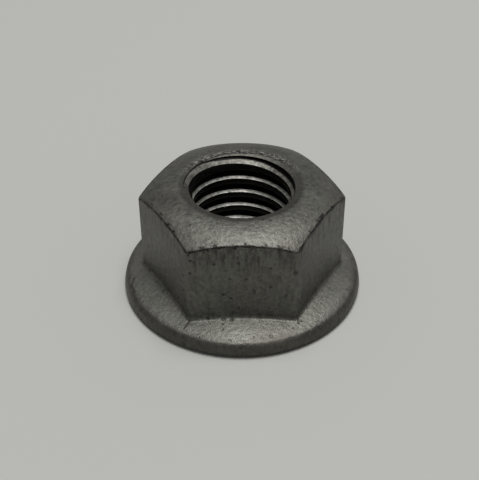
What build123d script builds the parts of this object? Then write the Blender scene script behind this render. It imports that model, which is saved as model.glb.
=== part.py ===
from build123d import *
import math
import os

# Serrated flange nut: one forging. The origin is the middle of the bearing face, the bore runs along +Z,
# and two of the six flats face -Y and +Y. All sizes are in millimetres and all angles in degrees.

# Thread. The bore is the drilled core of the thread, as wide as the tap drill.
thread_diameter = 10.0
thread_pitch = 1.5

# Hexagon and its domed top
across_flats = 15.9
height = 10.5              # bearing face to the rim of the mouth
corner_drop = 1.4          # fall of the dome from the rim of the mouth to the sharp corners of the hexagon
dome_radius = 7.0
corner_rounding = 0.5      # upright corners of the hexagon
crown_rounding = 0.22      # edge between the flats and the dome

# Mouths of the bore
mouth_diameter = 10.7
countersink_angle = 120.0
mouth_rounding = 0.12

# Flange
flange_diameter = 21.7
flange_slope = 16.3        # fall of the upper face, from the hexagon to the rim
seat_height = 1.83         # upper face of the flange at the sharp corners of the hexagon
rim_flare = 11.0           # lean of the rim, which is widest at its lower lip
rim_rounding = 0.75        # upper face to rim
rim_share = 0.45           # most of the ledge outside the hexagon that the rim's rounding may have
lip_height = 0.42
lip_rounding = 0.1
root_rounding = 0.35       # flats to the upper face of the flange
root_share = 0.25          # most of the ledge that the root's rounding may have

# Bearing face and its serrations: ratchet teeth that bite when a right-hand nut is turned loose
bearing_bevel = 0.55       # the bearing face ends this far inside the lip
serration_count = 24
serration_depth = 0.36     # at the edge of the bearing face
land_share = 0.22          # share of each tooth that is its flat crest
bite_share = 0.12          # share of each tooth that is its steep side

core_radius = (thread_diameter - thread_pitch) / 2
mouth_radius = mouth_diameter / 2
flange_radius = flange_diameter / 2
bearing_radius = flange_radius - bearing_bevel
corner_radius = across_flats / math.sqrt(3)
corner_height = height - corner_drop
ledge = flange_radius - corner_radius


def rise(run, angle):
    """Height gained over a level run at an angle."""
    return run * math.tan(math.radians(angle))


def turned(outline):
    """Solid of revolution of a closed outline of edges in the XZ plane."""
    return revolve(Plane.XZ * make_face(outline), Axis.Z)


def hexagon():
    """Hexagonal prism with rounded upright corners, under a domed top."""
    prism = extrude(RegularPolygon(corner_radius, 6), height)
    prism = fillet(prism.edges().filter_by(Axis.Z), corner_rounding)
    rim = (mouth_radius, height)
    corner = (corner_radius, corner_height)
    beyond = (flange_radius, corner_height)
    dome = [
        Line((0, 0), (0, height)),
        Line((0, height), rim),
        RadiusArc(rim, corner, dome_radius),
        Line(corner, beyond),
        Line(beyond, (flange_radius, 0)),
        Line((flange_radius, 0), (0, 0)),
    ]
    return prism & turned(dome)


def flange():
    """Round flange: sloping upper face, rounded and flared rim, thin lip and bevelled bearing edge."""
    lip = (flange_radius, lip_height)
    top_at_axis = seat_height + rise(corner_radius, flange_slope)
    slope = math.tan(math.radians(flange_slope))
    flare = math.tan(math.radians(rim_flare))
    # The sloping face z = top_at_axis - slope * r meets the rim r = flange_radius - flare * (z - lip_height).
    shoulder_radius = (flange_radius - flare * (top_at_axis - lip_height)) / (1 - flare * slope)
    shoulder = (shoulder_radius, top_at_axis - slope * shoulder_radius)
    upper = FilletPolyline(
        (0, 0),
        (bearing_radius, 0),
        lip,
        shoulder,
        (0, top_at_axis),
        radius=[0, lip_rounding, min(rim_rounding, rim_share * ledge)],
    )
    return turned([upper, Line((0, top_at_axis), (0, 0))])


def countersunk_bore():
    """Bore through the nut with a countersink at each end."""
    sink = rise(mouth_radius - core_radius, 90 - countersink_angle / 2)
    overrun = height
    outline = Polyline(
        (0, -overrun),
        (mouth_radius, -overrun),
        (mouth_radius, 0),
        (core_radius, sink),
        (core_radius, height - sink),
        (mouth_radius, height),
        (mouth_radius, height + overrun),
        (0, height + overrun),
        close=True,
    )
    return turned([outline])


def serration():
    """Cutter for one serration: a pyramid with its point on the axis, so that the tooth widens outwards."""
    pitch = 2 * math.pi * flange_radius / serration_count
    depth = serration_depth * flange_radius / bearing_radius
    bite = bite_share * pitch
    ramp = (1 - land_share - bite_share) * pitch
    # Both sides run on below the bearing face, by as much again as they rise above it.
    point = Vector(0, 0, 0)
    root = Vector(flange_radius, 0, depth)
    bite_foot = Vector(flange_radius, -2 * bite, -depth)
    ramp_foot = Vector(flange_radius, 2 * ramp, -depth)
    sides = [
        [point, bite_foot, root],
        [point, root, ramp_foot],
        [point, ramp_foot, bite_foot],
        [root, bite_foot, ramp_foot],
    ]
    return Solid(Shell([Face(Wire.make_polygon(side)) for side in sides]))


def serrations():
    """The ring of serrations."""
    step = 360 / serration_count
    return [Rot(0, 0, step * number) * serration() for number in range(serration_count)]


def curved_edges(body, least_radius, most_radius, least_height, most_height):
    """Curved edges of a body that lie between two radii and two heights."""
    found = []
    for edge in body.edges():
        if edge.geom_type == GeomType.LINE:
            continue
        points = [edge @ 0, edge @ 0.5, edge @ 1]
        radii = [math.hypot(point.X, point.Y) for point in points]
        heights = [point.Z for point in points]
        if min(radii) < least_radius or max(radii) > most_radius:
            continue
        if min(heights) < least_height or max(heights) > most_height:
            continue
        found.append(edge)
    return found


def flange_nut():
    """The whole forging."""
    slack = 0.01
    middle = (lip_height + height) / 2
    flats = (across_flats / 2 - slack, corner_radius + slack)
    mouth = (mouth_radius - slack, mouth_radius + slack)
    nut = hexagon() + flange()
    nut = fillet(curved_edges(nut, *flats, lip_height, middle), min(root_rounding, root_share * ledge))
    nut = fillet(curved_edges(nut, *flats, middle, height), crown_rounding)
    nut = nut - countersunk_bore()
    nut = fillet(curved_edges(nut, *mouth, height - slack, height + slack), mouth_rounding)
    return nut - serrations()


os.makedirs("parts", exist_ok=True)
export_step(flange_nut(), "parts/flange_nut.step")
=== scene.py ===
import math

import bmesh
import bpy
from bpy.props import FloatProperty, FloatVectorProperty, IntProperty, PointerProperty
from mathutils import Matrix, Vector


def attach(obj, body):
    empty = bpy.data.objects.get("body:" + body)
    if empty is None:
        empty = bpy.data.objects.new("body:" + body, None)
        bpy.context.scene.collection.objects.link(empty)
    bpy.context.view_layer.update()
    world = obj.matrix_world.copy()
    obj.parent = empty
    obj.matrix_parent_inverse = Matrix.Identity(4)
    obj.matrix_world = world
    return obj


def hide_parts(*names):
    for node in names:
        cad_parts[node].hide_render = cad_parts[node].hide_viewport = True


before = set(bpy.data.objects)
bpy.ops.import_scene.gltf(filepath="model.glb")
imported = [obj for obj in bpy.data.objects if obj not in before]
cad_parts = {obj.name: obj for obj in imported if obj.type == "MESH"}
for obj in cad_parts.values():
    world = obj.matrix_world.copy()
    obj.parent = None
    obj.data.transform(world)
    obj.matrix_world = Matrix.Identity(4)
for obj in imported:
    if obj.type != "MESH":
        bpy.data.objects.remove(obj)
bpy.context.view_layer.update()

bl_info = {
    "name": "Serrated Flange Nut",
    "version": (1, 0, 0),
    "blender": (4, 5, 0),
    "location": "3D View > Sidebar > Flange Nut",
    "description": "Models a dull coated serrated flange nut, with its thread, and the stage it lies on",
    "category": "Object",
}

MM = 0.001          # one millimetre in metres
AROUND = 38         # divisions along each flat of the hexagon
CORNER_STEPS = 6    # divisions round each upright corner
UP_FLATS = 23       # divisions up each flat
WAIST = 5           # height in millimetres that parts the crown of the nut from its flange
ON_FACE = 0.002     # a vertex this near to the dome or the flange is on it, in millimetres

# Lamp in metres, camera in millimetres and degrees.
LAMP_PLACE = (0.085, -0.01, 0.9)
LAMP_WIDTH, LAMP_DEPTH = 0.44, 0.66
FLOOR_WIDTH = 6
CAMERA_PLACE = (-0.231, -71.150, 58.881)
CAMERA_LEAN = 52.581
CAMERA_ROLL = -0.2205
CAMERA_LENS = 74.089
CAMERA_SENSOR = 36
CAMERA_NEAR, CAMERA_FAR = 0.005, 20

# Marks on the flange, in millimetres, where each starts and ends, and its half width: a dark scratch at the
# left, in two lines, then painted shade along a crease out from each of two front corners of the hexagon, one
# short.
SCRATCH_AND_CREASE_SHADE = (
    ((-9.84, -1.89, 1.59), (-10.05, -2.74, 1.47), 0.17),
    ((-10.05, -2.74, 1.47), (-9.69, -3.72, 1.48), 0.14),
    ((-4.51, -7.90, 1.85), (-5.01, -8.63, 1.60), 0.13),
    ((4.78, -7.71, 1.86), (4.82, -8.20, 1.73), 0.12),
)


# ---------------------------------------------------------------- colour

def linear(code):
    """Linear colour of an sRGB hex value."""
    parts = [int(code.lstrip("#")[at:at + 2], 16) / 255 for at in (0, 2, 4)]
    return tuple(part / 12.92 if part <= 0.04045 else ((part + 0.055) / 1.055) ** 2.4 for part in parts)


# ---------------------------------------------------------------- settings

class NutSizes(bpy.types.PropertyGroup):
    across_flats: FloatProperty(
        name="Across flats", description="Width of the hexagon over two flats",
        default=15.9 * MM, unit="LENGTH", subtype="DISTANCE", precision=5)
    corner_rounding: FloatProperty(
        name="Corner rounding", description="Radius of the upright corners of the hexagon",
        default=0.5 * MM, unit="LENGTH", subtype="DISTANCE", precision=5)
    height: FloatProperty(
        name="Height", description="Bearing face to the rim of the mouth",
        default=10.498 * MM, unit="LENGTH", subtype="DISTANCE", precision=5)
    corner_drop: FloatProperty(
        name="Corner drop", description="Fall of the dome from the mouth to the corners of the hexagon",
        default=1.4 * MM, unit="LENGTH", subtype="DISTANCE", precision=5)
    dome_radius: FloatProperty(
        name="Dome radius", description="Radius of the arc that the dome is turned to",
        default=7.0 * MM, unit="LENGTH", subtype="DISTANCE", precision=5)
    crown_rounding: FloatProperty(
        name="Crown rounding", description="Reach of the rounding between the flats and the dome",
        default=0.14 * MM, unit="LENGTH", subtype="DISTANCE", precision=5)
    mouth_diameter: FloatProperty(
        name="Mouth diameter", description="Width of the countersink at each end of the bore",
        default=10.7 * MM, unit="LENGTH", subtype="DISTANCE", precision=5)
    countersink: FloatProperty(
        name="Countersink", description="Full angle of the countersink under the nut",
        default=math.radians(120), unit="ROTATION", subtype="ANGLE")
    ring_inner: FloatProperty(
        name="Ring inner diameter", description="Inner edge of the shallow ring round the upper mouth",
        default=9.34 * MM, unit="LENGTH", subtype="DISTANCE", precision=5)
    ring_drop: FloatProperty(
        name="Ring drop", description="Fall of the ring from the rim of the mouth to its inner edge",
        default=0.19 * MM, unit="LENGTH", subtype="DISTANCE", precision=5)
    lead_depth: FloatProperty(
        name="Lead depth", description="Depth of the steep lead, from the ring down to the crests",
        default=0.8 * MM, unit="LENGTH", subtype="DISTANCE", precision=5)
    mouth_rounding: FloatProperty(
        name="Mouth rounding", description="Radius of the rim of the mouth",
        default=0.13 * MM, unit="LENGTH", subtype="DISTANCE", precision=5)
    flange_diameter: FloatProperty(
        name="Flange diameter", description="Width of the flange over its lip",
        default=21.7 * MM, unit="LENGTH", subtype="DISTANCE", precision=5)
    flange_slope: FloatProperty(
        name="Flange slope", description="Fall of the upper face of the flange",
        default=math.radians(16.3), unit="ROTATION", subtype="ANGLE")
    seat_height: FloatProperty(
        name="Seat height", description="Upper face of the flange at the corners of the hexagon",
        default=1.83 * MM, unit="LENGTH", subtype="DISTANCE", precision=5)
    root_rounding: FloatProperty(
        name="Root rounding", description="Reach of the rounding where the flats meet the flange",
        default=0.25 * MM, unit="LENGTH", subtype="DISTANCE", precision=5)
    rim_rounding: FloatProperty(
        name="Rim rounding", description="Radius from the upper face of the flange to its rim",
        default=0.75 * MM, unit="LENGTH", subtype="DISTANCE", precision=5)
    rim_flare: FloatProperty(
        name="Rim flare", description="Lean of the rim, widest at its lip",
        default=math.radians(11), unit="ROTATION", subtype="ANGLE")
    lip_height: FloatProperty(
        name="Lip height", description="Height of the widest part of the rim",
        default=0.42 * MM, unit="LENGTH", subtype="DISTANCE", precision=5)
    lip_rounding: FloatProperty(
        name="Lip rounding", description="Radius of the lip",
        default=0.1 * MM, unit="LENGTH", subtype="DISTANCE", precision=5)
    bearing_bevel: FloatProperty(
        name="Bearing bevel", description="How far inside the lip the bearing face ends",
        default=0.55 * MM, unit="LENGTH", subtype="DISTANCE", precision=5)


class ThreadSizes(bpy.types.PropertyGroup):
    pitch: FloatProperty(
        name="Pitch", description="Rise of the thread in one turn",
        default=1.5 * MM, unit="LENGTH", subtype="DISTANCE", precision=5)
    core_diameter: FloatProperty(
        name="Core diameter", description="Width over the crests of the thread",
        default=8.66 * MM, unit="LENGTH", subtype="DISTANCE", precision=5)
    root_diameter: FloatProperty(
        name="Root diameter", description="Width over the roots of the thread",
        default=10.14 * MM, unit="LENGTH", subtype="DISTANCE", precision=5)
    crest: FloatProperty(
        name="Crest", description="Width of the flat crest",
        default=0.54 * MM, unit="LENGTH", subtype="DISTANCE", precision=5)
    start: FloatProperty(
        name="Start", description="Height of the upper corner of a crest, on the far side of the bore",
        default=8.225 * MM, unit="LENGTH", subtype="DISTANCE", precision=5)
    steps: IntProperty(name="Steps", description="Divisions in one turn", default=120, min=24)


class SerrationSizes(bpy.types.PropertyGroup):
    count: IntProperty(name="Count", description="Number of serrations", default=24, min=3)
    depth: FloatProperty(
        name="Depth", description="Depth of a serration at the edge of the bearing face",
        default=0.36 * MM, unit="LENGTH", subtype="DISTANCE", precision=5)
    land: FloatProperty(
        name="Land", description="Share of each tooth that is its flat crest",
        default=0.22, subtype="FACTOR", min=0, max=1)
    bite: FloatProperty(
        name="Bite", description="Share of each tooth that is its steep side",
        default=0.12, subtype="FACTOR", min=0, max=1)


class StageSettings(bpy.types.PropertyGroup):
    floor_colour: FloatVectorProperty(
        name="Floor", description="Colour of the floor", size=3, subtype="COLOR",
        default=linear("#b6b6b2"), min=0, max=1)
    lamp_power: FloatProperty(
        name="Lamp power", description="Power of the lamp over the nut",
        default=7.3, unit="POWER", min=0)
    sky: FloatProperty(name="Sky", description="Brightness of the room round the nut", default=0.23, min=0)


# ---------------------------------------------------------------- tools for modelling

def alone(obj):
    """Make an object the only selected one, and the active one."""
    bpy.ops.object.select_all(action="DESELECT")
    obj.select_set(True)
    bpy.context.view_layer.objects.active = obj


def edit(obj):
    alone(obj)
    bpy.ops.object.mode_set(mode="EDIT")


def leave():
    bpy.ops.object.mode_set(mode="OBJECT")


def pick(obj, kind, test):
    """Select the vertices, edges or faces that pass a test of place, in edit mode."""
    bpy.ops.mesh.select_mode(type=kind)
    bpy.ops.mesh.select_all(action="DESELECT")
    mesh = bmesh.from_edit_mesh(obj.data)
    found = 0
    for element in {"VERT": mesh.verts, "EDGE": mesh.edges, "FACE": mesh.faces}[kind]:
        if test(element):
            element.select_set(True)
            found += 1
    bmesh.update_edit_mesh(obj.data)
    return found


def reach(point):
    """Distance of a point from the axis of the bore."""
    return math.hypot(point.x, point.y)


def new_outline(name, points):
    """A line of edges in the XZ plane, drawn out of one vertex point by point."""
    bpy.ops.object.select_all(action="DESELECT")
    bpy.ops.mesh.primitive_plane_add(size=1)
    line = bpy.context.object
    line.name = name
    edit(line)
    bpy.ops.mesh.select_mode(type="VERT")
    bpy.ops.mesh.select_all(action="SELECT")
    bpy.ops.mesh.merge(type="CENTER")
    bpy.ops.transform.translate(value=(points[0][0], 0, points[0][1]))
    for (r0, z0), (r1, z1) in zip(points, points[1:]):
        bpy.ops.mesh.extrude_vertices_move(TRANSFORM_OT_translate={"value": (r1 - r0, 0, z1 - z0)})
    leave()
    return line


def turned(name, points, steps):
    """A surface turned from an outline, all the way round the axis."""
    surface = new_outline(name, points)
    edit(surface)
    bpy.ops.mesh.select_all(action="SELECT")
    bpy.ops.mesh.spin(steps=steps, angle=2 * math.pi, center=(0, 0, 0), axis=(0, 0, 1))
    bpy.ops.mesh.select_all(action="SELECT")
    bpy.ops.mesh.remove_doubles(threshold=0.001)
    leave()
    return surface


def arc(before, corner, after, radius, steps):
    """Points of the arc that rounds the corner of an outline."""
    corner = Vector(corner)
    back = (Vector(before) - corner).normalized()
    on = (Vector(after) - corner).normalized()
    half = back.angle(on) / 2
    start = corner + back * (radius / math.tan(half))
    end = corner + on * (radius / math.tan(half))
    middle = corner + (back + on).normalized() * (radius / math.sin(half))
    first, last = start - middle, end - middle
    turn = math.atan2(first.x * last.y - first.y * last.x, first.dot(last))
    points = []
    for step in range(steps + 1):
        angle = turn * step / steps
        points.append((
            middle.x + first.x * math.cos(angle) - first.y * math.sin(angle),
            middle.y + first.x * math.sin(angle) + first.y * math.cos(angle),
        ))
    return points


def draw_out(obj, rings):
    """Extrude the selected round edge loop from ring to ring, each a radius and a height."""
    mesh = bmesh.from_edit_mesh(obj.data)
    loop = [vertex.co for vertex in mesh.verts if vertex.select]
    radius = sum(reach(point) for point in loop) / len(loop)
    height = sum(point.z for point in loop) / len(loop)
    for next_radius, next_height in rings:
        bpy.ops.mesh.extrude_edges_move(TRANSFORM_OT_translate={"value": (0, 0, next_height - height)})
        share = next_radius / radius
        bpy.ops.transform.resize(value=(share, share, 1), center_override=(0, 0, 0))
        radius, height = next_radius, next_height


def apply_all(obj):
    alone(obj)
    for modifier in list(obj.modifiers):
        bpy.ops.object.modifier_apply(modifier=modifier.name)


def drape(sheet, points, steps=360):
    """Lay a flat sheet on a turned surface, straight down."""
    surface = turned("form", points, steps)
    wrap = sheet.modifiers.new("drape", "SHRINKWRAP")
    wrap.target = surface
    wrap.wrap_method = "PROJECT"
    wrap.use_project_z = True
    wrap.use_negative_direction = True
    wrap.use_positive_direction = True
    apply_all(sheet)
    bpy.data.objects.remove(surface, do_unlink=True)


def cut(body, tool):
    """Cut a tool out of a body, and put the tool away."""
    boolean = body.modifiers.new("cut", "BOOLEAN")
    boolean.operation = "DIFFERENCE"
    boolean.solver = "EXACT"
    boolean.object = tool
    apply_all(body)
    bpy.data.objects.remove(tool, do_unlink=True)


# ---------------------------------------------------------------- the nut

def in_mm(group):
    """The lengths of a property group in millimetres. The nut is modelled at a thousand times its size."""
    values = {}
    for name, kind in group.bl_rna.properties.items():
        if kind.type in {"FLOAT", "INT"}:
            values[name] = getattr(group, name) / (MM if kind.subtype == "DISTANCE" else 1)
    return values


def dome_form(size):
    """Outline of the dome: an arc from the mouth to the corners of the hexagon, and a little past both."""
    steps = 32
    rim = Vector((size["mouth_diameter"] / 2, size["height"]))
    corner = Vector((size["across_flats"] / math.sqrt(3), size["height"] - size["corner_drop"]))
    chord = corner - rim
    middle = (rim + corner) / 2
    deep = math.sqrt(size["dome_radius"] ** 2 - (chord.length / 2) ** 2)
    centre = middle + Vector((chord.y, -chord.x)).normalized() * deep
    first = math.atan2(rim.y - centre.y, rim.x - centre.x)
    last = math.atan2(corner.y - centre.y, corner.x - centre.x)
    points = []
    for step in range(-1, steps + 2):
        angle = first + (last - first) * step / steps
        points.append((
            centre.x + size["dome_radius"] * math.cos(angle),
            centre.y + size["dome_radius"] * math.sin(angle),
        ))
    return points


def hexagon_sheet(name, size, circle_radius, cuts):
    """A flat sheet between the outline of the hexagon and a circle."""
    corner_radius = size["across_flats"] / math.sqrt(3)
    bpy.ops.object.select_all(action="DESELECT")
    bpy.ops.mesh.primitive_circle_add(vertices=6, radius=corner_radius, fill_type="NGON")
    sheet = bpy.context.object
    sheet.name = name
    edit(sheet)
    bpy.ops.mesh.select_all(action="SELECT")
    bpy.ops.transform.rotate(value=math.radians(30), orient_axis="Z", center_override=(0, 0, 0))
    setback = size["corner_rounding"] * math.tan(math.radians(30))
    bpy.ops.mesh.bevel(offset=setback, segments=CORNER_STEPS, affect="VERTICES", clamp_overlap=False)
    bpy.ops.mesh.select_all(action="SELECT")
    bpy.ops.mesh.delete(type="ONLY_FACE")
    pick(sheet, "EDGE", lambda edge: edge.calc_length() > size["corner_rounding"])
    bpy.ops.mesh.subdivide(number_cuts=AROUND - 1)
    bpy.ops.mesh.select_all(action="SELECT")
    bpy.ops.mesh.duplicate()
    bpy.ops.transform.tosphere(value=1)
    mesh = bmesh.from_edit_mesh(sheet.data)
    loop = [reach(vertex.co) for vertex in mesh.verts if vertex.select]
    share = circle_radius / (sum(loop) / len(loop))
    bpy.ops.transform.resize(value=(share, share, 1), center_override=(0, 0, 0))
    bpy.ops.mesh.select_all(action="SELECT")
    bpy.ops.mesh.bridge_edge_loops(number_cuts=cuts, interpolation="LINEAR", smoothness=0)
    leave()
    return sheet


def thread_tool(size):
    """A rod with the form of the thread, a right-hand one, to cut out of the bore."""
    turns_below, turns = 8, 12      # turns of the rod under the start height, and in all
    ends = ((-0.9, -1), (11.4, 1))  # heights that the rod is cut off at, and which way is out
    worn = 0.05                     # how far the corners of a crest are worn down
    core, root = size["core_diameter"] / 2, size["root_diameter"] / 2
    flank = (root - core) * math.tan(math.radians(30))
    foot = size["start"] - size["pitch"] / 4 - size["crest"] - turns_below * size["pitch"]
    points = [
        (core + worn * 0.4, foot - worn * 0.2),
        (core, foot + worn),
        (core, foot + size["crest"] - worn),
        (core + worn * 0.4, foot + size["crest"] + worn * 0.2),
        (root, foot + size["crest"] + flank),
        (root, foot + size["pitch"] - flank),
        (core + worn * 0.4, foot + size["pitch"] - worn * 0.2),
    ]
    rod = new_outline("thread_tool", points)
    screw = rod.modifiers.new("turns", "SCREW")
    screw.axis = "Z"
    screw.angle = 2 * math.pi
    screw.screw_offset = size["pitch"]
    screw.iterations = turns
    screw.steps = screw.render_steps = int(size["steps"])
    apply_all(rod)
    edit(rod)
    bpy.ops.mesh.select_all(action="SELECT")
    bpy.ops.mesh.remove_doubles(threshold=0.002)
    for height, outward in ends:
        bpy.ops.mesh.select_all(action="SELECT")
        bpy.ops.mesh.bisect(
            plane_co=(0, 0, height), plane_no=(0, 0, outward), use_fill=True, clear_outer=True)
    bpy.ops.mesh.select_all(action="SELECT")
    bpy.ops.mesh.normals_make_consistent(inside=False)
    leave()
    return rod


def serration_tool(size, flange):
    """The ring of wedges that cut the serrations: steep side one way, ramp the other."""
    radius = flange["flange_diameter"] / 2
    inner = 4.2     # radius where the wedges end, inside the mouth of the bore
    past = 1.02     # how far past the lip they start, as a share of its radius
    pitch = 2 * math.pi * radius / size["count"]
    depth = size["depth"] * radius / (radius - flange["bearing_bevel"])
    bite = size["bite"] * pitch
    ramp = (1 - size["land"] - size["bite"]) * pitch
    wedge = new_outline("serration_tool", [(-2 * bite, -depth), (0, depth), (2 * ramp, -depth)])
    edit(wedge)
    bpy.ops.mesh.select_all(action="SELECT")
    bpy.ops.mesh.edge_face_add()
    bpy.ops.transform.rotate(value=math.radians(-90), orient_axis="Z", center_override=(0, 0, 0))
    bpy.ops.transform.translate(value=(radius * past, 0, 0))
    bpy.ops.transform.resize(value=(1, past, past), center_override=(0, 0, 0))
    bpy.ops.mesh.extrude_region_move(TRANSFORM_OT_translate={"value": (0, 0, 0)})
    share = inner / (radius * past)
    bpy.ops.transform.resize(value=(share, share, share), center_override=(0, 0, 0))
    bpy.ops.mesh.select_all(action="SELECT")
    bpy.ops.mesh.normals_make_consistent(inside=False)
    count = int(size["count"])
    bpy.ops.mesh.spin(
        steps=count - 1, angle=2 * math.pi * (count - 1) / count,
        dupli=True, center=(0, 0, 0), axis=(0, 0, 1))
    leave()
    return wedge


class FLANGENUT_OT_nut(bpy.types.Operator):
    """Model the nut: hexagon, dome, flange, thread and serrations in one forging"""
    bl_idname = "flange_nut.nut"
    bl_label = "Make the nut"

    def execute(self, context):
        size = in_mm(context.scene.flange_nut_sizes)
        thread = in_mm(context.scene.flange_nut_thread)
        serration = in_mm(context.scene.flange_nut_serrations)
        corner_radius = size["across_flats"] / math.sqrt(3)
        flange_radius = size["flange_diameter"] / 2
        mouth_radius = size["mouth_diameter"] / 2

        # Dome: a sheet from the hexagon to the mouth, laid on the turned form.
        sheet_height = 10
        dome = dome_form(size)
        sink = math.tan(math.pi / 2 - size["countersink"] / 2)
        lead_radius = size["ring_inner"] / 2
        lead_edge = (lead_radius, size["height"] - size["ring_drop"])
        on_dome = dome[3]   # a point of the dome a little way out from the rim
        mouth = arc(lead_edge, (mouth_radius, size["height"]), on_dome, size["mouth_rounding"], 4)
        nut = hexagon_sheet("flange_nut_forging", size, mouth[-1][0], 14)
        edit(nut)
        bpy.ops.mesh.select_all(action="SELECT")
        bpy.ops.transform.translate(value=(0, 0, sheet_height))
        leave()
        drape(nut, dome)

        # Flange: its upper face is a sheet from the hexagon out to the rounding of the rim.
        slope = math.tan(size["flange_slope"])
        flare = math.tan(size["rim_flare"])
        top = size["seat_height"] + slope * corner_radius
        shoulder_radius = (flange_radius - flare * (top - size["lip_height"])) / (1 - flare * slope)
        shoulder = (shoulder_radius, top - slope * shoulder_radius)
        lip = (flange_radius, size["lip_height"])
        edge = (flange_radius - size["bearing_bevel"], 0)
        rim = arc((0, top), shoulder, lip, size["rim_rounding"], 7)
        ledge = hexagon_sheet("ledge", size, rim[0][0], 3)
        drape(ledge, [(radius, top - slope * radius) for radius in (7.0, 12.0)])

        # Flats: the two sheets are joined by walls along the hexagon.
        alone(ledge)
        nut.select_set(True)
        bpy.context.view_layer.objects.active = nut
        bpy.ops.object.join()
        edit(nut)
        # The limits have some slack: no edge lies near any of them.
        hexagon = size["across_flats"] / 2 - 0.01
        low = size["seat_height"] + slope * (corner_radius - hexagon) + 0.05
        rim_top = shoulder[1] + 0.2

        def on_hexagon(edge):
            heights = [vertex.co.z for vertex in edge.verts]
            radii = [reach(vertex.co) for vertex in edge.verts]
            if not edge.is_boundary or min(radii) <= hexagon:
                return False
            on_ledge = max(heights) < low and min(heights) > rim_top
            return min(heights) > WAIST or (on_ledge and max(radii) < corner_radius)

        picked = pick(nut, "EDGE", on_hexagon)
        if picked != 12 * (AROUND + CORNER_STEPS):
            raise RuntimeError(f"the hexagon has {picked} edges to join")
        bpy.ops.mesh.bridge_edge_loops(number_cuts=UP_FLATS, interpolation="LINEAR", smoothness=0)
        bpy.ops.mesh.select_all(action="SELECT")
        bpy.ops.mesh.normals_make_consistent(inside=False)

        # Crown and root: the edges of the flats are rounded.
        def crown(edge):
            return all(
                abs(vertex.co.z - self.dome_height(dome, reach(vertex.co))) < ON_FACE
                and self.on_flat(vertex.co, size) for vertex in edge.verts)

        def root(edge):
            return all(
                reach(vertex.co) < corner_radius and vertex.co.z < WAIST
                and abs(vertex.co.z - (top - slope * reach(vertex.co))) < ON_FACE
                and self.on_flat(vertex.co, size) for vertex in edge.verts)

        for test, offset, segments in ((crown, size["crown_rounding"], 4), (root, size["root_rounding"], 5)):
            picked = pick(nut, "EDGE", test)
            if picked != 6 * (AROUND + CORNER_STEPS):
                raise RuntimeError(f"the {test.__name__} has {picked} edges to round")
            bpy.ops.mesh.bevel(offset=offset, segments=segments, affect="EDGES", clamp_overlap=True)

        # Rim, underside and bore: the outer circle is drawn round to meet the mouth.
        pick(nut, "EDGE", lambda edge: edge.is_boundary and edge.verts[0].co.z < WAIST)
        bearing = [(radius, 0) for radius in (9.7, 9.0, 8.3, 7.6, 6.9, 6.2)]
        core = 4.0      # radius of the blank's bore, which the thread tool opens out to the crests
        crest = thread["core_diameter"] / 2
        lip_arc = arc(rim[-1], lip, edge, size["lip_rounding"], 3)
        lead_fall = size["lead_depth"] * (lead_radius - core) / (lead_radius - crest)
        bore = [
            (mouth_radius, 0),
            (core, sink * (mouth_radius - core)),
            (core, lead_edge[1] - lead_fall),
            lead_edge,
        ]
        draw_out(nut, rim[1:] + lip_arc + [edge] + bearing + bore + mouth)
        bpy.ops.mesh.select_all(action="SELECT")
        bpy.ops.mesh.remove_doubles(threshold=0.004)
        bpy.ops.mesh.normals_make_consistent(inside=False)
        leave()
        self.check_closed(nut, "the blank")

        cut(nut, thread_tool(thread))
        self.check_closed(nut, "the threaded nut")
        cut(nut, serration_tool(serration, size))
        self.check_closed(nut, "the serrated nut")

        # Down to life size.
        edit(nut)
        bpy.ops.mesh.select_all(action="SELECT")
        bpy.ops.transform.resize(value=(MM, MM, MM), center_override=(0, 0, 0))
        pick(nut, "VERT", lambda vertex: vertex.co.z < 0)
        bpy.ops.transform.resize(value=(1, 1, 0), center_override=(0, 0, 0))
        leave()
        alone(nut)
        bpy.ops.object.shade_smooth_by_angle(angle=math.radians(32))
        nut.data.materials.clear()
        self.mark_crown(nut, dome, size)
        size["ring_slope"] = size["ring_drop"] / (mouth_radius - lead_radius)
        size["ring_foot"] = size["height"] - size["ring_slope"] * mouth_radius
        nut.data.materials.append(zinc_flake_coat(size))
        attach(nut, "root")
        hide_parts("flange_nut")
        return {"FINISHED"}

    def mark_crown(self, nut, dome, size):
        """Mark how near each vertex is to the edge between the flats and the dome."""
        wear = nut.data.attributes.new("crown_wear", "FLOAT", "POINT")
        width = 0.42    # how far the mark fades out over, in millimetres
        for vertex in nut.data.vertices:
            point = vertex.co / MM
            inward = size["across_flats"] / 2 - self.across(point)
            below = self.dome_height(dome, reach(point)) - point.z
            wear.data[vertex.index].value = max(0, 1 - math.hypot(inward, below) / width)

    @staticmethod
    def across(point):
        """Distance of a point from the axis, square to the nearest flat."""
        return max(
            point.x * math.cos(math.radians(angle)) + point.y * math.sin(math.radians(angle))
            for angle in range(30, 390, 60))

    @staticmethod
    def dome_height(dome, radius):
        """Height of the dome at a radius, or -1 where there is no dome."""
        for (r0, z0), (r1, z1) in zip(dome, dome[1:]):
            if r0 <= radius <= r1:
                return z0 + (z1 - z0) * (radius - r0) / (r1 - r0)
        return -1

    @staticmethod
    def on_flat(point, size):
        """Whether a point lies on the outline of the hexagon, its rounded corners included."""
        deepest = 0.09      # how far inside the flats the rounded corners lie, with some slack
        inward = size["across_flats"] / 2 - FLANGENUT_OT_nut.across(point)
        return -0.01 < inward < deepest

    @staticmethod
    def check_closed(obj, what):
        """Stop if a mesh has an edge that isn't shared by just two faces."""
        mesh = bmesh.new()
        mesh.from_mesh(obj.data)
        open_edges = sum(1 for edge in mesh.edges if not edge.is_manifold)
        mesh.free()
        if open_edges:
            raise RuntimeError(f"{what} has {open_edges} open edges")


# ---------------------------------------------------------------- materials

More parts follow.
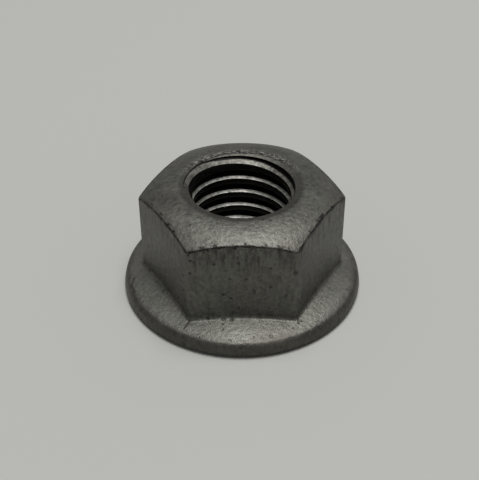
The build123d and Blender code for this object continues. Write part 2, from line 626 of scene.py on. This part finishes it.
def add_node(tree, kind, inputs=None, **settings):
    """Add a node with its settings. An input is a value, or another node's output to link from."""
    node = tree.nodes.new("ShaderNode" + kind)
    for name, value in settings.items():
        setattr(node, name, value)
    for socket, value in (inputs or {}).items():
        if isinstance(value, bpy.types.NodeSocket):
            tree.links.new(value, node.inputs[socket])
        else:
            node.inputs[socket].default_value = value
    return node.outputs


# What a row of the tables below does: kind of node, its settings, the sockets that the row's terms go to,
# and the output that the row's name stands for. Every other word in that place is an operation of Math.
ACTIONS = {
    "SMOOTH": ("MapRange", {"interpolation_type": "SMOOTHSTEP"}, ("Value", "From Min", "From Max"), "Result"),
    "BLEND": ("Mix", {"data_type": "RGBA"}, ("Factor", 6, 7), 2),
    "NOISE": ("TexNoise", {}, ("Vector", "Scale", "Detail", "Roughness"), "Fac"),
    "CLAMP": ("Math", {"operation": "ADD", "use_clamp": True}, (0, 1), 0),
}

# Each row is a name, what it does, and its terms: names of earlier rows, numbers or hex colours.
# A SMOOTH row runs from 0 at its first number to 1 at its second. Places and radii are in millimetres.

MOTTLE = (
    # Distance from the axis of the bore.
    ("x_squared", "MULTIPLY", "x", "x"),
    ("y_squared", "MULTIPLY", "y", "y"),
    ("radius_squared", "ADD", "x_squared", "y_squared"),
    ("radius", "SQRT", "radius_squared"),
    # Flakes and grains of the coat, a quarter of a millimetre across, over broader clouds.
    ("cloud", "NOISE", "place", 0.55, 3.0, 0.5),
    ("patches", "NOISE", "place", 1.3, 5.0, 0.7),
    ("fine", "MULTIPLY", "grain", 0.65),
    ("broad", "MULTIPLY", "cloud", 0.35),
    ("mottle", "ADD", "fine", "broad"),
    ("grain_swing", "SUBTRACT", "grain", 0.5),
    ("patch_swing", "SUBTRACT", "patches", 0.5),
)

PITS = (
    # Scattered dark spots a tenth to a third of a millimetre wide.
    ("pit_grade", "SMOOTH", "chance", 0.55, 1.0),
    ("pit_size", "MULTIPLY", "pit_grade", 0.2),
    ("from_pit", "SUBTRACT", "spot", "pit_size"),
    ("outside_pit", "SMOOTH", "from_pit", 0.0, 0.09),
    ("inside_pit", "SUBTRACT", 1.0, "outside_pit"),
    ("chosen", "SMOOTH", "chance", 0.5, 0.6),
    ("pit", "MULTIPLY", "inside_pit", "chosen"),
)

FLATS = (
    # Fine upright lines on the flats, left by the trimming die, strongest near the top.
    ("streak", "NOISE", "upright_place", 1.0, 4.0, 0.65),
    ("tilt", "ABSOLUTE", "facing"),
    ("level", "SMOOTH", "tilt", 0.2, 0.5),
    ("upright", "SUBTRACT", 1.0, "level"),
    ("past_dome", "SMOOTH", "radius", 7.0, 7.5),
    ("on_flats", "MULTIPLY", "upright", "past_dome"),
    ("near_top", "SMOOTH", "z", 6.6, 8.8),
    ("top_gain", "MULTIPLY", "near_top", 0.5),
    ("smear_gain", "ADD", "top_gain", 0.3),
    ("streak_lines", "SMOOTH", "streak", 0.42, 0.66),
    ("flat_lines", "MULTIPLY", "on_flats", "streak_lines"),
    ("smear", "MULTIPLY", "smear_gain", "flat_lines"),
    # The coat is rubbed dark in broken stretches along the top of the flats, with chips beside them.
    ("wear_push", "MULTIPLY", "grain_swing", 0.9),
    ("ragged_wear", "ADD", "wear", "wear_push"),
    ("wear_core", "SMOOTH", "ragged_wear", 0.66, 0.86),
    ("wear_breaks", "SMOOTH", "patches", 0.3, 0.44),
    ("wear_line", "MULTIPLY", "wear_core", "wear_breaks"),
    ("chip_zone", "SMOOTH", "wear", 0.05, 0.4),
    ("chip_spots", "SMOOTH", "patches", 0.5, 0.6),
    ("chips", "MULTIPLY", "chip_zone", "chip_spots"),
    ("rubbed", "MAXIMUM", "wear_line", "chips"),
)

THREAD = (
    # Where the bore is: under the ring, and inside the roots.
    ("ring_rise", "MULTIPLY", "radius", "ring_slope"),
    ("ring", "ADD", "ring_rise", "ring_foot"),
    ("under_ring", "SUBTRACT", "ring", "z"),
    ("below", "SMOOTH", "under_ring", 0.03, 0.07),
    ("past_bore", "SMOOTH", "radius", 5.09, 5.12),
    ("inside_bore", "SUBTRACT", 1.0, "past_bore"),
    ("in_bore", "MULTIPLY", "below", "inside_bore"),
    # The strip of each upper flank that the lamp lights, painted as a highlight. The first turn's is wider,
    # most on the left.
    ("first_turn", "SMOOTH", "z", 9.15, 9.35),
    ("left", "SMOOTH", "x", -1.5, -4.2),
    ("right", "SMOOTH", "x", 1.0, 4.0),
    ("right_loss", "MULTIPLY", "right", 0.8),
    ("run_out", "SUBTRACT", "left", "right_loss"),
    ("run_out_width", "MULTIPLY", "run_out", 0.25),
    ("first_width", "ADD", "run_out_width", 0.22),
    ("more_width", "MULTIPLY", "first_turn", "first_width"),
    ("bright_to", "ADD", "more_width", 4.56),
    ("past_bright", "SUBTRACT", "radius", "bright_to"),
    ("beyond", "SMOOTH", "past_bright", 0.0, 0.08),
    ("painted_light_strip", "SUBTRACT", 1.0, "beyond"),
    ("flank_up", "SMOOTH", "facing", 0.62, 0.82),
    ("flank", "MULTIPLY", "painted_light_strip", "flank_up"),
    # Its colours: duller on the first turn, and near black everywhere else in the bore, a painted shadow.
    ("coarse", "SMOOTH", "grain", 0.35, 0.65),
    ("painted_first_turn_highlight", "BLEND", "coarse", "#53524d", "#7e7d76"),
    ("painted_lower_turn_highlight", "BLEND", "coarse", "#8f8e87", "#c4c3bc"),
    ("painted_flank_highlight", "BLEND", "first_turn", "painted_lower_turn_highlight", "painted_first_turn_highlight"),
    ("painted_thread_light_and_shade", "BLEND", "flank", "#141311", "painted_flank_highlight"),
)

FLANGE = (
    # Painted light and shade: the upward face of the flange is painted paler than the dome, as light, and its
    # rim is painted darker, as shade.
    ("past_hexagon", "SMOOTH", "radius", 8.1, 8.6),
    ("faces_up", "SMOOTH", "facing", 0.75, 0.9),
    ("flat_top", "MULTIPLY", "past_hexagon", "faces_up"),
    ("high", "SMOOTH", "z", 4.0, 5.0),
    ("not_high", "SUBTRACT", 1.0, "high"),
    ("flange_top_painted_light", "MULTIPLY", "flat_top", "not_high"),
    ("rim_push", "MULTIPLY", "patch_swing", 2.0),
    ("ragged_radius", "ADD", "radius", "rim_push"),
    ("ragged_rim", "SMOOTH", "ragged_radius", 9.7, 10.7),
    ("near_rim", "SMOOTH", "radius", 9.6, 10.2),
    ("painted_rim_shade", "MULTIPLY", "ragged_rim", "near_rim"),
    # Blotches of dark residue, painted shade on faces that look down, and warm patches where the coat has
    # browned a little.
    ("grime", "SMOOTH", "patches", 0.6, 0.7),
    ("painted_underside_shade", "SMOOTH", "facing", -0.1, -0.5),
    ("brown_cloud", "NOISE", "place", 0.28, 2.0),
    ("browned", "SMOOTH", "brown_cloud", 0.5, 0.68),
)

MOUTH = (
    # Torn metal round the outer half of the ring, on the far side, where the tap dragged it up.
    ("past_ring", "SMOOTH", "radius", 5.08, 5.24),
    ("past_lip", "SMOOTH", "radius", 5.4, 6.1),
    ("before_lip", "SUBTRACT", 1.0, "past_lip"),
    ("lip_band", "MULTIPLY", "past_ring", "before_lip"),
    ("far_side", "SMOOTH", "y", 1.5, 4.2),
    ("torn", "MULTIPLY", "lip_band", "far_side"),
    ("tear", "NOISE", "bent_place", 1.8, 5.0, 0.7),
    ("tear_edges", "SMOOTH", "tear", 0.48, 0.6),
    ("torn_colour", "BLEND", "tear_edges", "#2f2e2a", "#d6d5cd"),
    ("tear_relief", "MULTIPLY", "tear", "torn"),
    # Round the mouth the coat is painted darker than the dome, at the sides and in front, not behind.
    ("past_mouth", "SMOOTH", "radius", 5.3, 5.7),
    ("mouth", "SUBTRACT", 1.0, "past_mouth"),
    ("behind", "SMOOTH", "y", 2.5, 4.3),
    ("not_behind", "SUBTRACT", 1.0, "behind"),
    ("darker_round_mouth", "MULTIPLY", "mouth", "not_behind"),
    # Where the first groove runs out of the ring, on the left, it isn't modelled: a painted black line stands
    # for the shadow in it, and a painted pale flank inside it for the flank the lamp lights.
    ("off_groove", "SUBTRACT", "radius", 5.1),
    ("groove_gap", "ABSOLUTE", "off_groove"),
    ("beside_groove", "SMOOTH", "groove_gap", 0.04, 0.1),
    ("groove_line", "SUBTRACT", 1.0, "beside_groove"),
    ("groove_left", "SMOOTH", "x", -2.8, -3.6),
    ("groove_back", "SMOOTH", "y", -0.6, 0.8),
    ("left_line", "MULTIPLY", "groove_line", "groove_left"),
    ("painted_groove_shadow", "MULTIPLY", "left_line", "groove_back"),
    ("flank_left", "SMOOTH", "x", -3.0, -3.8),
    ("past_flank", "SMOOTH", "radius", 5.0, 5.06),
    ("within_flank", "SUBTRACT", 1.0, "past_flank"),
    ("left_flank", "MULTIPLY", "flank_left", "within_flank"),
    ("flank_back", "MULTIPLY", "flank_up", "groove_back"),
    ("painted_first_flank_light", "MULTIPLY", "left_flank", "flank_back"),
)

# Colours laid over the mottle in this order: where, how strongly, and the colour.
LAYERS = (
    ("pit", 0.75, "#2b2a27"),
    ("smear", 1.0, "#383632"),
    ("rubbed", 0.92, "#1d1b18"),
    # Painted light on the upward face of the flange.
    ("flange_top_painted_light", 0.32, "#8f8f87"),
    # Painted shade on the rim of the flange.
    ("painted_rim_shade", 0.5, "#33302c"),
    ("grime", 0.5, "#33312d"),
    # Painted shade under the lip and on every face that looks down.
    ("painted_underside_shade", 1.0, "#161513"),
    ("browned", 0.14, "#66574e"),
    ("torn", 0.75, "torn_colour"),
    # Painted darker round the mouth, at the sides and in front.
    ("darker_round_mouth", 0.45, "#2c2a26"),
    # Painted shadow of the first groove's run-out, then painted light on the flank inside it.
    ("painted_groove_shadow", 0.9, "#11100f"),
    ("painted_first_flank_light", 1.0, "painted_first_turn_highlight"),
    # Painted light and shade in the thread: highlights on the lit flank strips, and a near black shadow
    # elsewhere in the bore.
    ("in_bore", 1.0, "painted_thread_light_and_shade"),
    # Dark scratch, and painted shade along the creases at two front corners.
    ("scratch_and_crease_shade", 0.5, "#22201d"),
)

# What stands up from the grain or lies below it, for the bump.
RELIEF = (("pit", -0.5), ("flat_streaks", 0.4), ("scratch_and_crease_shade", -0.7), ("tear_relief", 6.0))


def add_rows(tree, known, rows):
    """Add a node for each row of a table, and keep its output under the row's name."""
    for name, action, *terms in rows:
        kind, settings, sockets, output = ACTIONS.get(action, ("Math", {"operation": action}, (0, 1), 0))
        inputs = {}
        for socket, term in zip(sockets, terms):
            if isinstance(term, str):
                term = (*linear(term), 1) if term.startswith("#") else known[term]
            inputs[socket] = term
        known[name] = add_node(tree, kind, inputs, **settings)[output]


def add_scratch_and_crease_shade(tree, known):
    """Mark the flange: a dark scratch at the left, and painted shade along a crease out from each of two
    front corners, one short.
    """
    add_rows(tree, known, [("mark_push", "MULTIPLY", "grain_swing", 0.16)])
    known["scratch_and_crease_shade"] = 0.0
    for start, end, width in SCRATCH_AND_CREASE_SHADE:
        along = Vector(end) - Vector(start)
        from_start = add_node(
            tree, "VectorMath", {0: known["place"], 1: start}, operation="SUBTRACT")[0]
        known["share"] = add_node(
            tree, "VectorMath", {0: from_start, 1: tuple(along / along.length_squared)},
            operation="DOT_PRODUCT")["Value"]
        add_rows(tree, known, [("part_way", "CLAMP", "share", 0.0)])
        nearest = add_node(
            tree, "VectorMath", {0: tuple(along), 3: known["part_way"]}, operation="SCALE")[0]
        known["away"] = add_node(
            tree, "VectorMath", {0: from_start, 1: nearest}, operation="DISTANCE")["Value"]
        add_rows(tree, known, [
            ("ragged_away", "ADD", "away", "mark_push"),
            ("clear_of", "SMOOTH", "ragged_away", width * 0.2, width * 1.3),
            ("mark_line", "SUBTRACT", 1.0, "clear_of"),
            ("scratch_and_crease_shade", "MAXIMUM", "scratch_and_crease_shade", "mark_line"),
        ])


def zinc_flake_coat(size):
    """Forged steel in a dull zinc-flake coat: dark neutral grey, mostly metallic, with a broad soft gloss.

    The coat is dipped and baked, so it is mottled and pitted. It is worn dark along the edges of the flats.
    In the bore it carries painted light and shade: a near black painted shadow in the thread, and a painted
    highlight on the lit strip of each upper flank. The paler flange top, the darker rim and underside, the
    groove run-out left of the mouth and two creases by the front corners are painted light and shade too.
    """
    material = bpy.data.materials.new("zinc_flake_coat_on_forged_steel")
    material.use_nodes = True
    tree = material.node_tree
    tree.nodes.clear()

    # Places in millimetres, and which way the surface faces.
    source = add_node(tree, "TexCoord")
    place = add_node(tree, "VectorMath", {0: source["Object"], 1: (1 / MM,) * 3}, operation="MULTIPLY")[0]
    at = add_node(tree, "SeparateXYZ", {0: place})
    known = {
        "place": place, "x": at["X"], "y": at["Y"], "z": at["Z"],
        "facing": add_node(tree, "SeparateXYZ", {0: source["Normal"]})["Z"],
        "wear": add_node(tree, "Attribute", attribute_name="crown_wear")["Fac"],
        "ring_slope": size["ring_slope"], "ring_foot": size["ring_foot"],
    }

    grain = add_node(tree, "TexNoise", {"Vector": place, "Scale": 2.5, "Detail": 5.0, "Roughness": 0.62})
    known["grain"] = grain["Fac"]
    add_rows(tree, known, MOTTLE)
    known["colour"] = add_node(tree, "ValToRGB", {"Fac": known["mottle"]})["Color"]
    ends = known["colour"].node.color_ramp.elements
    for end, position, code in zip(ends, (0.34, 0.66), ("#4e4d48", "#73736c")):
        end.position = position
        end.color = (*linear(code), 1)

    stray = add_node(
        tree, "VectorMath", {0: grain["Color"], 1: (0.5, 0.5, 0.5), 2: place}, operation="MULTIPLY_ADD")[0]
    spots = add_node(tree, "TexVoronoi", {"Vector": stray, "Scale": 1.5, "Randomness": 1.0})
    known["spot"] = spots["Distance"]
    known["chance"] = add_node(tree, "SeparateColor", {0: spots["Color"]})[0]
    add_rows(tree, known, PITS)

    known["upright_place"] = add_node(tree, "Mapping", {0: place, "Scale": (3.2, 3.2, 0.5)})[0]
    add_rows(tree, known, FLATS + THREAD + FLANGE)

    # The torn metal's noise runs round the mouth: the angle one way, the radius the other.
    add_rows(tree, known, [
        ("angle", "ARCTAN2", "y", "x"),
        ("round", "MULTIPLY", "angle", 7.0),
        ("outward", "MULTIPLY", "radius", 5.0),
    ])
    known["bent_place"] = add_node(tree, "CombineXYZ", {"X": known["round"], "Y": known["outward"]})[0]
    add_rows(tree, known, MOUTH)
    add_scratch_and_crease_shade(tree, known)

    for mask, strength, colour in LAYERS:
        add_rows(tree, known, [
            ("strength", "MULTIPLY", mask, strength),
            ("colour", "BLEND", "strength", "colour", colour),
        ])

    add_rows(tree, known, [("flat_streaks", "MULTIPLY", "streak", "on_flats")])
    known["relief"] = known["grain"]
    for mask, rise in RELIEF:
        add_rows(tree, known, [
            ("rise", "MULTIPLY", mask, rise),
            ("relief", "ADD", "relief", "rise"),
        ])

    bump = add_node(tree, "Bump", {"Strength": 0.7, "Distance": 0.09 * MM, "Height": known["relief"]})
    rough = add_node(tree, "MapRange", {
        "Value": known["cloud"], "From Min": 0.3, "From Max": 0.7, "To Min": 0.4, "To Max": 0.52})["Result"]
    shader = add_node(tree, "BsdfPrincipled", {
        "Metallic": 0.75, "Base Color": known["colour"], "Normal": bump["Normal"], "Roughness": rough})
    add_node(tree, "OutputMaterial", {"Surface": shader["BSDF"]})
    return material


def plain_paper(colour):
    """Matt pale paper: even, with no gloss."""
    material = bpy.data.materials.new("matt_pale_paper")
    material.use_nodes = True
    tree = material.node_tree
    tree.nodes.clear()
    paper = add_node(tree, "BsdfPrincipled", {
        "Base Color": (*colour, 1), "Roughness": 0.9, "Specular IOR Level": 0.0})["BSDF"]
    # From below the paper is clear, so that the underside of the nut can be seen and lit.
    back = add_node(tree, "NewGeometry")["Backfacing"]
    passed = add_node(tree, "LightPath")["Transparent Depth"]
    clear = add_node(tree, "Math", {0: back, 1: passed}, operation="ADD", use_clamp=True)[0]
    nothing = add_node(tree, "BsdfTransparent")["BSDF"]
    mixed = add_node(tree, "MixShader", {0: clear, 1: paper, 2: nothing})["Shader"]
    add_node(tree, "OutputMaterial", {"Surface": mixed})
    return material


# ---------------------------------------------------------------- the stage

class FLANGENUT_OT_stage(bpy.types.Operator):
    """Lay the floor, hang the lamp and set up the camera"""
    bl_idname = "flange_nut.stage"
    bl_label = "Set the stage"

    def execute(self, context):
        settings = context.scene.flange_nut_stage
        bpy.ops.object.select_all(action="DESELECT")
        bpy.ops.mesh.primitive_plane_add(size=FLOOR_WIDTH)
        floor = context.object
        floor.name = "floor"
        floor.data.materials.append(plain_paper(settings.floor_colour))

        bpy.ops.object.light_add(type="AREA", location=LAMP_PLACE)
        lamp = context.object
        lamp.name = "overhead_lamp"
        lamp.data.shape = "RECTANGLE"
        lamp.data.size = LAMP_WIDTH
        lamp.data.size_y = LAMP_DEPTH
        lamp.data.energy = settings.lamp_power

        world = bpy.data.worlds.new("room")
        context.scene.world = world
        world.use_nodes = True
        background = world.node_tree.nodes["Background"]
        background.inputs["Color"].default_value = (1, 1, 1, 1)
        background.inputs["Strength"].default_value = settings.sky

        bpy.ops.object.camera_add(location=[part * MM for part in CAMERA_PLACE])
        camera = context.object
        camera.name = "camera"
        camera.rotation_mode = "QUATERNION"
        lean = Matrix.Rotation(math.radians(CAMERA_LEAN), 3, "X")
        roll = Matrix.Rotation(math.radians(CAMERA_ROLL), 3, "Z")
        camera.rotation_quaternion = (lean @ roll).to_quaternion()
        camera.data.sensor_width = CAMERA_SENSOR
        camera.data.lens = CAMERA_LENS
        camera.data.clip_start = CAMERA_NEAR
        camera.data.clip_end = CAMERA_FAR
        context.scene.camera = camera
        context.scene.view_settings.view_transform = "Standard"
        return {"FINISHED"}


class FLANGENUT_PT_panel(bpy.types.Panel):
    """The steps of the making, in the sidebar"""
    bl_label = "Flange Nut"
    bl_idname = "FLANGENUT_PT_panel"
    bl_space_type = "VIEW_3D"
    bl_region_type = "UI"
    bl_category = "Flange Nut"

    def draw(self, context):
        for group, operator in (
            ("flange_nut_sizes", None), ("flange_nut_thread", None),
            ("flange_nut_serrations", "flange_nut.nut"), ("flange_nut_stage", "flange_nut.stage"),
        ):
            box = self.layout.box()
            settings = getattr(context.scene, group)
            for name in settings.__annotations__:
                box.prop(settings, name)
            if operator:
                box.operator(operator)


CLASSES = (
    NutSizes, ThreadSizes, SerrationSizes, StageSettings,
    FLANGENUT_OT_nut, FLANGENUT_OT_stage, FLANGENUT_PT_panel,
)
GROUPS = {
    "flange_nut_sizes": NutSizes,
    "flange_nut_thread": ThreadSizes,
    "flange_nut_serrations": SerrationSizes,
    "flange_nut_stage": StageSettings,
}


def register():
    for kind in CLASSES:
        bpy.utils.register_class(kind)
    for name, kind in GROUPS.items():
        setattr(bpy.types.Scene, name, PointerProperty(type=kind))


def unregister():
    for name in GROUPS:
        delattr(bpy.types.Scene, name)
    for kind in reversed(CLASSES):
        bpy.utils.unregister_class(kind)


def main():
    register()
    bpy.ops.flange_nut.nut()
    bpy.ops.flange_nut.stage()
    bpy.context.view_layer.update()


if __name__ == "__main__":
    main()
